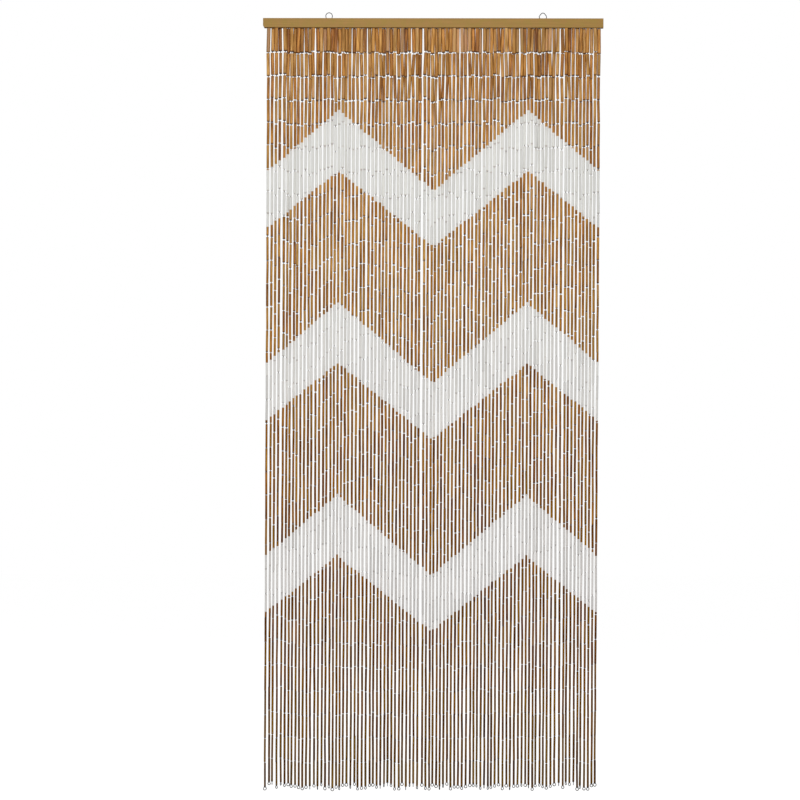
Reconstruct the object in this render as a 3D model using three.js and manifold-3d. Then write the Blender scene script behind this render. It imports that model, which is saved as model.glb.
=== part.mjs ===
// A bamboo bead door curtain: a painted wooden rail with two bent wire loops to hang it by, and ninety
// strands of linked bamboo tubes that hang from the rail in two close rows, each with a wire ring at its end.
//
// Millimetres, +Z up. The front faces -Y, and +X is to the right seen from there. The origin is midway
// along the rail, at the height where a hook bears inside the two hanging loops.

import * as THREE from "three";
import { mergeVertices } from "three/addons/utils/BufferGeometryUtils.js";
import Module from "manifold-3d";

const wasm = await Module();
wasm.setup();

// Clearance between pieces that touch or fit
const CLEARANCE = 0.3;

// Rail
const RAIL_LENGTH = 890;
const RAIL_DEPTH = 15;
const RAIL_HEIGHT = 25;
const RAIL_EDGE = 0.8;
const KNOCKED_CORNER = { width: 3.2, height: 6 };

// Hanging loops, each a wire with two legs in the top of the rail
const LOOP_WIRE = 1.6;
const LOOP_RISE = 16;
const LOOP_STEPS = 26;
const HOLE_SIDES = 8;
const LEG_DEPTH = 7.5;
// Height over the rail where a leg turns into the loop
const LEG_TOP = 1.5;
const ROUND_LOOP = { centre: -272.5, radius: 8.7 };
const POINTED_LOOP = { centre: 287 };
// Half of the pointed loop, from its leg to its top: distance from its middle, height over the rail
const POINTED_LOOP_PROFILE = [
  { out: 8.6, up: LEG_TOP },
  { out: 10, up: 5 },
  { out: 7, up: 10 },
  { out: 3, up: 14.4 },
];

// Heights of the rail below the origin
const RAIL_TOP = LOOP_WIRE - LOOP_RISE;
const RAIL_BOTTOM = RAIL_TOP - RAIL_HEIGHT;

// Strands
const STRANDS = 90;
const STRANDS_PER_GROUP = 15;
const TUBES = 32;
const STRAND_PITCH = 9.7;
// How far to the right of the rail's middle the row of strands is centred
const ROW_MIDDLE = 2.5;
const TUBE_PITCH = 61.76;
const ROW_OFFSET = 3.8;
const LEAN = 8;
// Tube diameter at the rail and at the lower end, and how fast it falls from one to the other
const TUBE_WIDTH = { top: 7.4, bottom: 5.2, power: 1.7 };
// Side of the square bar that has about the section of a round tube
const SQUARE_SHARE = 0.9;

// Wire between tubes: its thickness, and the height of the gap that it shows in
const LINK_WIRE = 1.6;
const NOTCH_HEIGHT = 4;
const SHOULDER = 0.8;
// Joints cut as gaps, and the lower joints where a strand only bends
const CUT_JOINTS = [1, 2, 3];
const BENT_JOINTS = [11, 21];

// How far the wire runs free between the rail and the first tube
const ROOT_GAP = { least: 1.4, spread: 3.6 };

// Unevenness, as the most that a joint departs from its even place
const HOOK_SCATTER = 0.9;
const HOOK_WAVE = { size: 1.1, strands: 13 };
const SWAY = 0.7;
const JOINT_SCATTER = [0, 2.3, 2, 1.5, 0.9];
const LOWER_SCATTER = 0.3;
const DEPTH_SCATTER = { top: 0.15, bottom: 0.55 };
const MID_DROP = 13;
const END_DROP = 7;
const JOINT_DROP = 2.2;
// Places where the strands stand apart: the strand to the left of the gap, and how much wider the gap is
const PARTINGS = [
  { after: 3, extra: 3.6 },
  { after: 41, extra: 3.6 },
  { after: 78, extra: 3 },
];
const PARTING_REACH = 3;

// Strip that stands for the row of wire eyes under the rail
const STRIP_HEIGHT = 1.4;
const STRIP_MARGIN = 1.4;

// Wire ring at the end of each strand
const RING_RADIUS = 4.6;
const RING_WIRE = 1.5;
const RING_SIDES = 6;
const RING_BITE = 0.3;

// Colours and finishes
const railPaint = new THREE.MeshStandardMaterial({ color: 0xa2824b, roughness: 0.55, metalness: 0 });
const bamboo = new THREE.MeshStandardMaterial({ color: 0x9a6c42, roughness: 0.5, metalness: 0 });
const wire = new THREE.MeshStandardMaterial({ color: 0x9a9a98, roughness: 0.35, metalness: 1 });

/** A repeatable number from 0 to 1 for a strand and the use that it is put to. */
function chance(strand, use) {
  const value = Math.sin((strand + 1) * 12.9898 + (use + 1) * 78.233) * 43758.5453;
  return value - Math.floor(value);
}

/** The same, from -1 to 1. */
function either(strand, use) {
  return 2 * chance(strand, use) - 1;
}

/** How far a strand's hook stands from its even place along the rail. */
function hookShift(strand) {
  const wave = HOOK_WAVE.size * Math.sin((2 * Math.PI * strand) / HOOK_WAVE.strands);
  const parted = PARTINGS.map(({ after, extra }) => {
    const steps = strand - after - 0.5;
    return (Math.sign(steps) * extra * Math.exp(-Math.abs(steps) / PARTING_REACH)) / 2;
  });
  return HOOK_SCATTER * either(strand, 1) + wave + parted.reduce((sum, shift) => sum + shift, 0);
}

/** Centre of a strand at one of its joints: 0 is the top of its first tube, TUBES the end of its last. */
function jointCentre(strand, joint) {
  const fall = joint / TUBES;
  const scatter = JOINT_SCATTER[joint] ?? LOWER_SCATTER;
  const depthScatter = THREE.MathUtils.lerp(DEPTH_SCATTER.top, DEPTH_SCATTER.bottom, fall);
  const sway = SWAY * Math.sin(Math.PI * fall * 1.5) * either(strand, 2);
  const x =
    ROW_MIDDLE +
    (strand - (STRANDS - 1) / 2) * STRAND_PITCH +
    hookShift(strand) -
    LEAN * fall +
    sway +
    scatter * either(strand, 100 + joint);
  const y = (strand % 2 === 0 ? -1 : 1) * ROW_OFFSET + depthScatter * either(strand, 200 + joint);
  const inside = joint > 0 && joint < TUBES ? 1 : 0;
  const drop =
    ROOT_GAP.least +
    ROOT_GAP.spread * chance(strand, 3) +
    TUBE_PITCH * joint +
    MID_DROP * Math.sin(Math.PI * fall) * either(strand, 4) +
    END_DROP * fall * either(strand, 5) +
    JOINT_DROP * inside * either(strand, 300 + joint);
  return new THREE.Vector3(x, y, RAIL_BOTTOM - drop);
}

/** Side of the square bar that stands for the tubes at a joint. */
function barSide(joint) {
  const rise = (1 - joint / TUBES) ** TUBE_WIDTH.power;
  return SQUARE_SHARE * THREE.MathUtils.lerp(TUBE_WIDTH.bottom, TUBE_WIDTH.top, rise);
}

/** The point on a strand's axis a little above (positive) or below (negative) a joint. */
function besideJoint(strand, joint, above) {
  const here = jointCentre(strand, joint);
  const next = jointCentre(strand, above > 0 ? joint - 1 : joint + 1);
  return here.lerp(next, Math.abs(above) / Math.abs(next.z - here.z));
}

/** The square sections of a strand from its root down: each a centre and a side. */
function strandSections(strand, rootHeight) {
  const top = jointCentre(strand, 0);
  const root = top.clone().setZ(rootHeight);
  const sections = [
    { centre: root, side: LINK_WIRE },
    { centre: top, side: LINK_WIRE },
    { centre: besideJoint(strand, 0, -SHOULDER), side: barSide(0) },
  ];
  for (const joint of CUT_JOINTS) {
    sections.push({ centre: besideJoint(strand, joint, NOTCH_HEIGHT / 2), side: barSide(joint) });
    sections.push({ centre: jointCentre(strand, joint), side: LINK_WIRE });
    sections.push({ centre: besideJoint(strand, joint, -NOTCH_HEIGHT / 2), side: barSide(joint) });
  }
  for (const joint of [...BENT_JOINTS, TUBES]) {
    sections.push({ centre: jointCentre(strand, joint), side: barSide(joint) });
  }
  return sections;
}

/** A closed solid from a three.js geometry. */
function solidOf(geometry) {
  const bare = geometry.clone();
  bare.deleteAttribute("normal");
  bare.deleteAttribute("uv");
  const merged = mergeVertices(bare, 1e-4);
  return new wasm.Manifold(
    new wasm.Mesh({
      numProp: 3,
      vertProperties: Float32Array.from(merged.attributes.position.array),
      triVerts: Uint32Array.from(merged.index.array),
    }),
  );
}

/** A three.js geometry from a closed solid. */
function geometryOf(solid) {
  const mesh = solid.getMesh();
  const geometry = new THREE.BufferGeometry();
  geometry.setAttribute("position", new THREE.Float32BufferAttribute(mesh.vertProperties, 3));
  geometry.setIndex(Array.from(mesh.triVerts));
  geometry.computeVertexNormals();
  return geometry;
}

/** A four-sided bar through square sections, made by moving the rings of an upright cylinder. */
function barThrough(sections) {
  const steps = sections.length - 1;
  const bar = new THREE.CylinderGeometry(Math.SQRT1_2, Math.SQRT1_2, 1, 4, steps, false, Math.PI / 4);
  bar.rotateX(Math.PI / 2);
  const corners = bar.attributes.position;
  for (let corner = 0; corner < corners.count; corner += 1) {
    const { centre, side } = sections[Math.round((0.5 - corners.getZ(corner)) * steps)];
    corners.setXYZ(
      corner,
      centre.x + corners.getX(corner) * side,
      centre.y + corners.getY(corner) * side,
      centre.z,
    );
  }
  return bar;
}

/** The wire ring under a strand, upright and turned by chance. */
function endRing(strand) {
  const ring = new THREE.TorusGeometry(RING_RADIUS, RING_WIRE / 2, 3, RING_SIDES);
  ring.rotateZ(Math.PI / 2);
  ring.rotateX(Math.PI / 2);
  ring.rotateZ(Math.PI * chance(strand, 6));
  const end = jointCentre(strand, TUBES);
  ring.translate(end.x, end.y, end.z - RING_RADIUS + RING_BITE);
  return ring;
}

/** A group of strands, fused at their roots to the strip that stands for their wire eyes. */
function strandGroup(first) {
  const stripTop = RAIL_BOTTOM - CLEARANCE;
  const length = STRANDS_PER_GROUP * STRAND_PITCH - CLEARANCE;
  const middle = ROW_MIDDLE + (first + (STRANDS_PER_GROUP - 1) / 2 - (STRANDS - 1) / 2) * STRAND_PITCH;
  const depth = 2 * ROW_OFFSET + 2 * STRIP_MARGIN;
  const strip = new THREE.BoxGeometry(length, depth, STRIP_HEIGHT);
  strip.translate(middle, 0, stripTop - STRIP_HEIGHT / 2);
  let group = solidOf(strip);
  for (let strand = first; strand < first + STRANDS_PER_GROUP; strand += 1) {
    const bar = solidOf(barThrough(strandSections(strand, stripTop - STRIP_HEIGHT / 2)));
    group = group.add(bar).add(solidOf(endRing(strand)));
  }
  return geometryOf(group);
}

/** Points of the round loop from its right leg over the top to its left leg, heights over the rail. */
function roundLoopPoints() {
  const { radius } = ROUND_LOOP;
  const centreUp = LOOP_RISE - LOOP_WIRE / 2 - radius;
  const lowest = -Math.asin((centreUp - LEG_TOP) / radius);
  const arc = new THREE.EllipseCurve(0, centreUp, radius, radius, lowest, Math.PI - lowest);
  return arc.getPoints(12).map((point) => ({ out: point.x, up: point.y }));
}

/** Points of the pointed loop in the same order. */
function pointedLoopPoints() {
  const right = POINTED_LOOP_PROFILE;
  const left = right.map(({ out, up }) => ({ out: -out, up })).reverse();
  return [...right, { out: 0, up: LOOP_RISE - LOOP_WIRE / 2 }, ...left];
}

/** A bent wire through the points, with straight legs down into the rail. */
function hangingLoop(points) {
  const first = points[0];
  const last = points[points.length - 1];
  const route = [
    { out: first.out, up: -LEG_DEPTH },
    { out: first.out, up: -LEG_DEPTH / 2 },
    { out: first.out, up: 0 },
    ...points,
    { out: last.out, up: 0 },
    { out: last.out, up: -LEG_DEPTH / 2 },
    { out: last.out, up: -LEG_DEPTH },
  ].map(({ out, up }) => new THREE.Vector3(out, 0, RAIL_TOP + up));
  const section = new THREE.Shape();
  section.absarc(0, 0, LOOP_WIRE / 2, 0, 2 * Math.PI, false);
  return new THREE.ExtrudeGeometry(section, {
    extrudePath: new THREE.CatmullRomCurve3(route, false, "centripetal"),
    steps: LOOP_STEPS,
    curveSegments: 3,
  });
}

/** The rail, with a hole for each leg of the loops. */
function rail(legs) {
  const half = RAIL_LENGTH / 2;
  const outline = new THREE.Shape([
    new THREE.Vector2(-half + KNOCKED_CORNER.width, RAIL_BOTTOM),
    new THREE.Vector2(half, RAIL_BOTTOM),
    new THREE.Vector2(half, RAIL_TOP),
    new THREE.Vector2(-half, RAIL_TOP),
    new THREE.Vector2(-half, RAIL_BOTTOM + KNOCKED_CORNER.height),
  ]);
  const lath = new THREE.ExtrudeGeometry(outline, {
    depth: RAIL_DEPTH - 2 * RAIL_EDGE,
    bevelThickness: RAIL_EDGE,
    bevelSize: RAIL_EDGE,
    bevelOffset: -RAIL_EDGE,
    bevelSegments: 1,
  });
  lath.rotateX(Math.PI / 2);
  lath.translate(0, RAIL_DEPTH / 2 - RAIL_EDGE, 0);
  let solid = solidOf(lath);
  const holeDepth = LEG_DEPTH + CLEARANCE;
  const holeRadius = (LOOP_WIRE / 2 + CLEARANCE) / Math.cos(Math.PI / HOLE_SIDES);
  for (const leg of legs) {
    const hole = new THREE.CylinderGeometry(holeRadius, holeRadius, 2 * holeDepth, HOLE_SIDES);
    hole.rotateX(Math.PI / 2);
    hole.translate(leg, 0, RAIL_TOP);
    solid = solid.subtract(solidOf(hole));
  }
  return geometryOf(solid);
}

/** A named mesh in the curtain. */
function addPiece(name, geometry, material, x = 0) {
  const mesh = new THREE.Mesh(geometry, material);
  mesh.name = name;
  mesh.position.x = x;
  curtain.add(mesh);
}

const curtain = new THREE.Group();
const loops = [
  { name: "hanging_loop_left", centre: ROUND_LOOP.centre, points: roundLoopPoints() },
  { name: "hanging_loop_right", centre: POINTED_LOOP.centre, points: pointedLoopPoints() },
];
const legs = loops.flatMap(({ centre, points }) => [centre - points[0].out, centre + points[0].out]);

addPiece("rail", rail(legs), railPaint);
for (const { name, centre, points } of loops) {
  addPiece(name, hangingLoop(points), wire, centre);
}
for (let first = 0; first < STRANDS; first += STRANDS_PER_GROUP) {
  addPiece(`strands_${first / STRANDS_PER_GROUP + 1}`, strandGroup(first), bamboo);
}

export default curtain;
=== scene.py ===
"""A bamboo bead door curtain, dressed round its fixed frame.

Ninety strands of linked bamboo tubes hang in two close rows from a painted rail, which two wire loops hold
up. Sizes are in metres, +Z is up and the front faces -Y, with +X to the right seen from there.
"""

import logging
import math
from dataclasses import dataclass, field
from enum import Enum, IntEnum

import bpy
import numpy as np
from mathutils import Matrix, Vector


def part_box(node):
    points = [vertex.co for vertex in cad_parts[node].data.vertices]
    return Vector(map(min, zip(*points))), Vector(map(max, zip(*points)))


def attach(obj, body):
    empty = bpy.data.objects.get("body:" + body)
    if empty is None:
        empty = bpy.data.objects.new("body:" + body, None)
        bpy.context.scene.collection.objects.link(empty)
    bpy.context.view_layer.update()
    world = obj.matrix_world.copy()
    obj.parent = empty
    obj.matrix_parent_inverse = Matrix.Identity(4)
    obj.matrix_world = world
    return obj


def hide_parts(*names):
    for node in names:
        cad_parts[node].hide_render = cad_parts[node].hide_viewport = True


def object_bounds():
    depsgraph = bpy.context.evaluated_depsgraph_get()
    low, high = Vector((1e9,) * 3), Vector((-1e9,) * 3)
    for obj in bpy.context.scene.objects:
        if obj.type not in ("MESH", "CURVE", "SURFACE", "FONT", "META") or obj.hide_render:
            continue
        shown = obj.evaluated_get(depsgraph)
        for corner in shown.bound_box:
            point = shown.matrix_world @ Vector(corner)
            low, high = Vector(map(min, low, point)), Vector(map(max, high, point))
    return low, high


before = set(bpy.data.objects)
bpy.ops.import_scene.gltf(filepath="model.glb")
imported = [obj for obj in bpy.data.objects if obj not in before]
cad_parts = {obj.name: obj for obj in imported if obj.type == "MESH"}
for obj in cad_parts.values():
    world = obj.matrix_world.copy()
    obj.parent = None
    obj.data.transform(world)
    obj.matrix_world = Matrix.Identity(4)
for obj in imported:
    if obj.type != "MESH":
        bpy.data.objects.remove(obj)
CAD_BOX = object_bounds()

LOG = logging.getLogger("bead_curtain")
BODY = "root"
MM = 0.001
UV_MAP = "OFBake"
UP = np.array([0.0, 0.0, 1.0])

# What the chance numbers are worked out from
STRAND_TURN = 12.9898
USE_TURN = 78.233
SINE_FACTOR = 43758.5453

# Kinds of value: a line is a factor and a start, and a span is where a soft step begins and ends
Node = bpy.types.Node
Socket = bpy.types.NodeSocket
Colour = tuple[float, float, float, float]
Triple = tuple[float, float, float]
Stops = tuple[tuple[float, Triple], ...]
Line = tuple[float, float]
Span = tuple[float, float]
Value = Socket | float | Colour
WHITE: Colour = (1.0, 1.0, 1.0, 1.0)


class Use(IntEnum):
    """What a chance number is for. From 100 on each use starts a row of numbers, for all joints or tubes."""

    HOOK = 1
    SWAY = 2
    ROOT_GAP = 3
    MID_DROP = 4
    END_DROP = 5
    RING_TURN = 6
    RING_SIZE = 7
    LOOSE_DROP = 8
    JOINT_SIDE = 100
    JOINT_DEPTH = 200
    JOINT_DROP = 300
    JOINT_GAP = 400
    TUBE_WIDTH = 500
    TUBE_TOP = 600
    TUBE_BOTTOM = 700
    TUBE_TURN = 800
    TUBE_TONE = 900
    PAINT_EDGE = 1200
    LINK_TURN = 1300


def chance(strand: np.ndarray, use: np.ndarray | int) -> np.ndarray:
    """Repeatable numbers from 0 to 1: the fraction left of a large multiple of a sine.

    Args:
        strand: Number of the strand, from 0.
        use: What the number is for, so that each use has its own numbers.

    Returns:
        An array of the shape that the two arguments broadcast to.
    """
    value = np.sin((strand + 1) * STRAND_TURN + (use + 1) * USE_TURN) * SINE_FACTOR
    return value - np.floor(value)


def either(strand: np.ndarray, use: np.ndarray | int) -> np.ndarray:
    """The same numbers, spread from -1 to 1."""
    return 2 * chance(strand, use) - 1


def unit(vectors: np.ndarray) -> np.ndarray:
    """Vectors along the last axis, each divided by its length."""
    return vectors / np.linalg.norm(vectors, axis=-1, keepdims=True)


@dataclass(frozen=True)
class Parting:
    """A place where two neighbouring strands stand apart.

    Args:
        after: Strand to the left of the gap.
        extra: How much wider than the pitch the gap is.
    """

    after: int
    extra: float


@dataclass(frozen=True)
class StrandPlan:
    """Where every strand, joint and tube of the curtain hangs, close to the frame's own strands."""

    # Numbers of strands, of tubes on each, and of strands in a node of the frame
    strands: int = 90
    tubes: int = 32
    per_node: int = 15

    # Even places: pitch and middle along the rail, the two rows in depth, then pitch and lean down a strand
    strand_pitch: float = 9.7 * MM
    row_middle: float = 2.5 * MM
    row_offset: float = 3.8 * MM
    tube_pitch: float = 61.76 * MM
    lean: float = 8 * MM
    rail_bottom: float = field(default_factory=lambda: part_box("rail")[0].z)

    # Widths of the tubes
    width_top: float = 7.4 * MM
    width_bottom: float = 5.5 * MM
    width_power: float = 1.8
    width_spread: float = 0.075
    first_extra: float = 2.4 * MM
    first_reach: float = 2.0

    # Gaps under the rail, and at a joint by how far down it is
    root_gap: float = 1.4 * MM
    root_gap_spread: float = 3.6 * MM
    root_share: float = 0.3
    joint_gap_falls: tuple[float, ...] = (0.0, 0.08, 0.3, 0.55, 1.0)
    joint_gaps: tuple[float, ...] = (3.0 * MM, 2.5 * MM, 2.2 * MM, 1.7 * MM, 1.1 * MM)
    joint_gap_spread: float = 0.85

    # Unevenness to the sides
    hook_scatter: float = 0.6 * MM
    hook_wave: float = 0.7 * MM
    wave_strands: int = 13
    sway: float = 0.7 * MM
    sway_half_swings: float = 1.5
    upper_scatter: tuple[float, ...] = (0.0, 1.6 * MM, 1.4 * MM, 1.0 * MM, 0.6 * MM)
    lower_scatter: float = 0.4 * MM
    partings: tuple[Parting, ...] = (
        Parting(after=3, extra=3.6 * MM),
        Parting(after=41, extra=2.9 * MM),
        Parting(after=78, extra=3 * MM),
    )
    parting_reach: float = 3.0

    # Unevenness in depth and in height
    depth_scatter_top: float = 0.15 * MM
    depth_scatter_bottom: float = 0.55 * MM
    mid_drop: float = 13 * MM
    loose_drop: float = 28 * MM
    end_drop: float = 7 * MM
    joint_drop: float = 2.2 * MM

    def strand_column(self) -> np.ndarray:
        """Numbers of the strands from 0, as a column."""
        return np.arange(self.strands)[:, None]

    def tube_row(self) -> np.ndarray:
        """Numbers of the tubes of a strand from 0, as a row."""
        return np.arange(self.tubes)[None, :]

    def joint_row(self) -> np.ndarray:
        """Numbers of the joints of a strand from 0, as a row."""
        return np.arange(self.tubes + 1)[None, :]

    def linked(self) -> np.ndarray:
        """True for each joint that has a tube on both sides."""
        joint = self.joint_row()
        return (joint > 0) & (joint < self.tubes)

    def hook_shifts(self, strand: np.ndarray) -> np.ndarray:
        """How far each hook stands from its even place along the rail.

        A chance shift, a slow wave from strand to strand, and at each parting a step that fades with
        distance from it.

        Args:
            strand: Numbers of the strands.

        Returns:
            One shift along X for each strand.
        """
        shift = self.hook_scatter * either(strand, Use.HOOK)
        shift = shift + self.hook_wave * np.sin(2 * np.pi * strand / self.wave_strands)
        for parting in self.partings:
            steps = strand - parting.after - 0.5
            fade = np.exp(-np.abs(steps) / self.parting_reach)
            shift = shift + np.sign(steps) * parting.extra / 2 * fade
        return shift

    def joints(self) -> np.ndarray:
        """Centres of all joints, from the top of a strand's first tube to the end of its last.

        Along X, the hook's place, a lean to the left, three quarters of a slow swing and a chance shift,
        which is widest in the upper rows. Along Y, one of the two rows by turns. Along Z, even steps
        down, with two chance shifts of the whole strand that swell towards mid height, as a sine and as
        its square, one that grows down to its end, and one for each joint.

        Returns:
            An array of strands, joints and coordinates.
        """
        strand, joint = self.strand_column(), self.joint_row()
        fall = joint / self.tubes
        scatter = np.full(self.tubes + 1, self.lower_scatter)
        scatter[: len(self.upper_scatter)] = self.upper_scatter
        x = self.row_middle + (strand - (self.strands - 1) / 2) * self.strand_pitch
        x = x + self.hook_shifts(strand) - self.lean * fall
        x = x + self.sway * np.sin(np.pi * fall * self.sway_half_swings) * either(strand, Use.SWAY)
        x = x + scatter * either(strand, Use.JOINT_SIDE + joint)
        depth = self.depth_scatter_top + (self.depth_scatter_bottom - self.depth_scatter_top) * fall
        row = np.where(strand % 2 == 0, -1, 1) * self.row_offset
        y = row + depth * either(strand, Use.JOINT_DEPTH + joint)
        swell = np.sin(np.pi * fall)
        drop = self.root_gap + self.root_gap_spread * chance(strand, Use.ROOT_GAP)
        drop = drop + self.tube_pitch * joint
        drop = drop + self.mid_drop * swell * either(strand, Use.MID_DROP)
        drop = drop + self.loose_drop * swell**2 * either(strand, Use.LOOSE_DROP)
        drop = drop + self.end_drop * fall * either(strand, Use.END_DROP)
        drop = drop + self.joint_drop * self.linked() * either(strand, Use.JOINT_DROP + joint)
        return np.stack(np.broadcast_arrays(x, y, self.rail_bottom - drop), axis=-1)

    def tube_ends(self) -> tuple[np.ndarray, np.ndarray]:
        """Top and bottom centre of every tube.

        Each end stands half a joint's gap off its joint, along the line between the two joints. The gap
        runs in straight steps between its values at a few heights, with a chance spread. The first tubes
        reach up to the wire eyes, so that only a share of the root gap is left under the rail.

        Returns:
            Two arrays of strands, tubes and coordinates.
        """
        centres = self.joints()
        strand, joint = self.strand_column(), self.joint_row()
        gap = np.interp(joint / self.tubes, self.joint_gap_falls, self.joint_gaps)
        half_gap = gap * (1 + self.joint_gap_spread * either(strand, Use.JOINT_GAP + joint)) / 2
        half_gap = half_gap * self.linked()
        downward = unit(centres[:, 1:] - centres[:, :-1])
        tops = centres[:, :-1] + downward * half_gap[:, :-1, None]
        bottoms = centres[:, 1:] - downward * half_gap[:, 1:, None]
        tops[:, 0, 2] = self.rail_bottom + self.root_share * (tops[:, 0, 2] - self.rail_bottom)
        return tops, bottoms

    def radii(self) -> np.ndarray:
        """Outer radius of every tube.

        Its width falls from the rail down by a power of the height, the first tubes are wider by an extra
        that fades down the strand, and each tube has a chance spread.

        Returns:
            An array of strands and tubes.
        """
        tube = self.tube_row()
        height = 1 - (tube + 0.5) / self.tubes
        width = self.width_bottom + (self.width_top - self.width_bottom) * height**self.width_power
        width = width + self.first_extra * np.exp(-tube / self.first_reach)
        spread = self.width_spread * either(self.strand_column(), Use.TUBE_WIDTH + tube)
        return width * (1 + spread) / 2

    def node(self, strand: int) -> str:
        """Name of the frame's node that holds a strand."""
        return f"strands_{strand // self.per_node + 1}"

    def nodes(self) -> list[str]:
        """Names of all the frame's nodes of strands."""
        return [self.node(first) for first in range(0, self.strands, self.per_node)]


@dataclass(frozen=True)
class ZigzagBands:
    """The white zigzag bands painted across the strands.

    A band's upper edge is a height for each strand, and the same edge comes again a period lower.

    Args:
        bands: Number of bands.
        peak: Height of the first band's upper edge at a peak.
        period: From one band's upper edge down to the next one's.
        peak_strand: How many strands a peak is from the curtain's middle.
        fall_per_strand: How much lower the edge is with each strand away from a peak.
        thick_at_peak: Height of the painted stretch at a peak.
        thick_at_valley: The same in the valley at the middle.
        jitter: How far up or down the paint may be off on a single tube.
    """

    bands: int = 3
    peak: float = -253.8 * MM
    period: float = 503.2 * MM
    peak_strand: float = 25.5
    fall_per_strand: float = 8.29 * MM
    thick_at_peak: float = 159 * MM
    thick_at_valley: float = 147 * MM
    jitter: float = 2.4 * MM

    def from_peak(self, strand: np.ndarray, strands: int) -> np.ndarray:
        """How many strands each one stands from the nearest peak, as a tent function of its place."""
        return np.abs(self.peak_strand - np.abs(strand - (strands - 1) / 2))

    def phase(self, strand: np.ndarray, strands: int, height: np.ndarray) -> np.ndarray:
        """Depth below the first band's upper edge, in periods: whole numbers are upper edges."""
        edge = self.peak - self.fall_per_strand * self.from_peak(strand, strands)
        return (edge - height) / self.period

    def share(self, strand: np.ndarray, strands: int) -> np.ndarray:
        """Part of a period that is painted on each strand."""
        steps = self.from_peak(strand, strands) / self.peak_strand
        return (self.thick_at_peak + (self.thick_at_valley - self.thick_at_peak) * steps) / self.period


def mesh_from(name: str, points: np.ndarray, face_sets: list[np.ndarray]) -> bpy.types.Mesh:
    """A mesh from arrays.

    Args:
        name: Name of the mesh.
        points: Vertex places, one row each.
        face_sets: Arrays of vertex numbers, one row for each face. Each array has its own number of
            corners.

    Returns:
        The mesh, smooth shaded, its corners in the order of the arrays.
    """
    corners = np.concatenate([faces.ravel() for faces in face_sets])
    sizes = np.concatenate([np.full(len(faces), faces.shape[1]) for faces in face_sets])
    starts = np.concatenate([[0], np.cumsum(sizes)[:-1]])
    mesh = bpy.data.meshes.new(name)
    mesh.vertices.add(len(points))
    mesh.vertices.foreach_set("co", points.astype(np.float32).ravel())
    mesh.loops.add(len(corners))
    mesh.loops.foreach_set("vertex_index", corners.astype(np.int32))
    mesh.polygons.add(len(starts))
    mesh.polygons.foreach_set("loop_start", starts.astype(np.int32))
    mesh.update(calc_edges=True)
    mesh.shade_smooth()
    return mesh


def add_vectors(mesh: bpy.types.Mesh, name: str, values: np.ndarray) -> None:
    """Stores three numbers on every vertex of a mesh, as an attribute."""
    attribute = mesh.attributes.new(name, "FLOAT_VECTOR", "POINT")
    attribute.data.foreach_set("vector", values.astype(np.float32).ravel())


def sharpen(mesh: bpy.types.Mesh, ring_size: int, rings: np.ndarray) -> None:
    """Marks the edges round some rings of a swept mesh as sharp.

    Args:
        mesh: A mesh whose vertices come ring by ring.
        ring_size: Vertices in a ring.
        rings: True for each ring of the mesh whose own edges are sharp.
    """
    ends = np.zeros(len(mesh.edges) * 2, np.int32)
    mesh.edges.foreach_get("vertices", ends)
    ring_of = ends.reshape(-1, 2) // ring_size
    same = ring_of[:, 0] == ring_of[:, 1]
    sharp = mesh.attributes.new("sharp_edge", "BOOLEAN", "EDGE")
    sharp.data.foreach_set("value", same & rings[ring_of[:, 0]])


def add_piece(
    name: str, mesh: bpy.types.Mesh, material: bpy.types.Material, nodes: list[str]
) -> bpy.types.Object:
    """Puts a mesh into the scene as a piece of the curtain.

    Args:
        name: Name of the piece.
        mesh: Its mesh, in place.
        material: Its finish.
        nodes: Names of the frame's nodes that it stands for.

    Returns:
        The new object.
    """
    mesh.materials.append(material)
    piece = bpy.data.objects.new(name, mesh)
    bpy.context.scene.collection.objects.link(piece)
    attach(piece, BODY)
    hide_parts(*nodes)
    LOG.info("%s: %d vertices, %d faces", name, len(mesh.vertices), len(mesh.polygons))
    return piece


def sweep_wires(
    paths: np.ndarray, normals: np.ndarray, radius: float, sides: int, closed: bool
) -> tuple[np.ndarray, list[np.ndarray]]:
    """Round wires along many flat paths at once.

    Each point of a path carries a ring: the point plus the radius times the cosine of the turn along the
    path's plane normal, plus the radius times its sine along the normal that lies in the plane.

    Args:
        paths: Wires, points on each, coordinates.
        normals: The normal of each wire's plane.
        radius: Radius of the wire.
        sides: Vertices in a ring.
        closed: True where a path's last point joins its first.

    Returns:
        Vertex places, and arrays of faces.
    """
    count, steps = paths.shape[:2]
    if closed:
        along = np.roll(paths, -1, axis=1) - np.roll(paths, 1, axis=1)
    else:
        along = np.gradient(paths, axis=1)
    across = normals[:, None, :]
    inward = unit(np.cross(unit(along), across))
    turn = 2 * np.pi * (np.arange(sides) + 0.5) / sides
    points = paths[:, :, None, :] + radius * (
        np.cos(turn)[:, None] * across[:, :, None, :] + np.sin(turn)[:, None] * inward[:, :, None, :]
    )
    step = np.arange(steps if closed else steps - 1)[:, None]
    ring, next_ring = step * sides, (step + 1) % steps * sides
    side = np.arange(sides)
    beside = (side + 1) % sides
    corners = [ring + side, next_ring + side, next_ring + beside, ring + beside]
    quads = np.stack(corners, axis=-1).reshape(-1, 4)
    first = (np.arange(count) * steps * sides)[:, None, None]
    faces = [(quads[None] + first).reshape(-1, 4)]
    if not closed:
        start = np.broadcast_to(side, (count, sides)) + first[:, :, 0]
        end = start[:, ::-1] + (steps - 1) * sides
        faces += [start, end]
    return points.reshape(-1, 3), faces


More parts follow.
